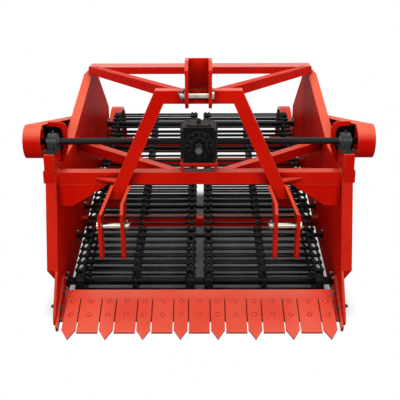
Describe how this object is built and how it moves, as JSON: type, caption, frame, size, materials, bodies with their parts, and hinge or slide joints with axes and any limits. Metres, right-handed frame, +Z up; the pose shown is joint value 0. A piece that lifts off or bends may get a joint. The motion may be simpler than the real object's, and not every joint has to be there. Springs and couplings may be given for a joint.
{
  "type": "cassava harvester",
  "caption": "Tractor-mounted root crop lifter: toothed share, rod-link webs between flanged side plates, three-point mast, gearbox with chain drives and rear depth wheels.",
  "frame": {"origin": "on the ground, in the middle of the machine's length and width", "axes": "+Z up, -Y forward to the share tips, +X to the right of someone facing the share"},
  "size_m": [1.646, 2.78, 1.251],
  "materials": {
    "red_paint": "gloss enamel",
    "black_steel": "satin black",
    "gearbox_iron": "painted black",
    "pin_steel": "bare steel"
  },
  "bodies": {
    "frame": {"side_plate_left": "red_paint", "side_plate_right": "red_paint", "main_beam": "red_paint", "rear_beam": "red_paint", "mid_tubes": "red_paint", "stay_left": "red_paint", "stay_right": "red_paint", "brace_left": "red_paint", "brace_right": "red_paint", "mast_leg_left": "red_paint", "mast_leg_right": "red_paint", "mast_head": "red_paint", "lower_hitch_left": "red_paint", "lower_hitch_right": "red_paint", "lower_pin_left": "pin_steel", "lower_pin_right": "pin_steel", "upper_pin": "pin_steel", "gearbox_mount": "red_paint", "gearbox": "gearbox_iron", "cross_shaft_left": "black_steel", "cross_shaft_right": "black_steel", "bearing_stand_left": "red_paint", "bearing_stand_right": "red_paint", "pillow_block_left": "black_steel", "pillow_block_right": "black_steel", "chain_guard_left": "red_paint", "chain_guard_right": "red_paint", "drive_chain_left": "black_steel", "drive_chain_right": "black_steel", "front_web_shaft": "black_steel", "rear_web_shaft": "black_steel", "carrier_rollers": "black_steel", "shaft_bearings_left": "black_steel", "shaft_bearings_right": "black_steel", "web_left": "black_steel", "web_right": "black_steel", "share_carrier": "red_paint", "share_tines": "red_paint", "share_plates": "red_paint", "share_cheek_left": "red_paint", "share_cheek_right": "red_paint", "wheel_hanger": "red_paint", "wheel_arm_left": "red_paint", "wheel_arm_right": "red_paint"},
    "left_wheel": {"wheel_left": "red_paint"},
    "right_wheel": {"wheel_right": "red_paint"},
    "input": {"input_shaft": "pin_steel"}
  },
  "joints": [
    {"name": "left_wheel_spin", "type": "hinge", "parent": "frame", "child": "left_wheel", "pos_m": [-0.653, 1.12, 0.27], "axis": [1, 0, 0], "continuous": true},
    {"name": "right_wheel_spin", "type": "hinge", "parent": "frame", "child": "right_wheel", "pos_m": [0.653, 1.12, 0.27], "axis": [1, 0, 0], "continuous": true},
    {"name": "input_spin", "type": "hinge", "parent": "frame", "child": "input", "pos_m": [0, -1.065, 0.85], "axis": [0, 1, 0], "continuous": true}
  ]
}
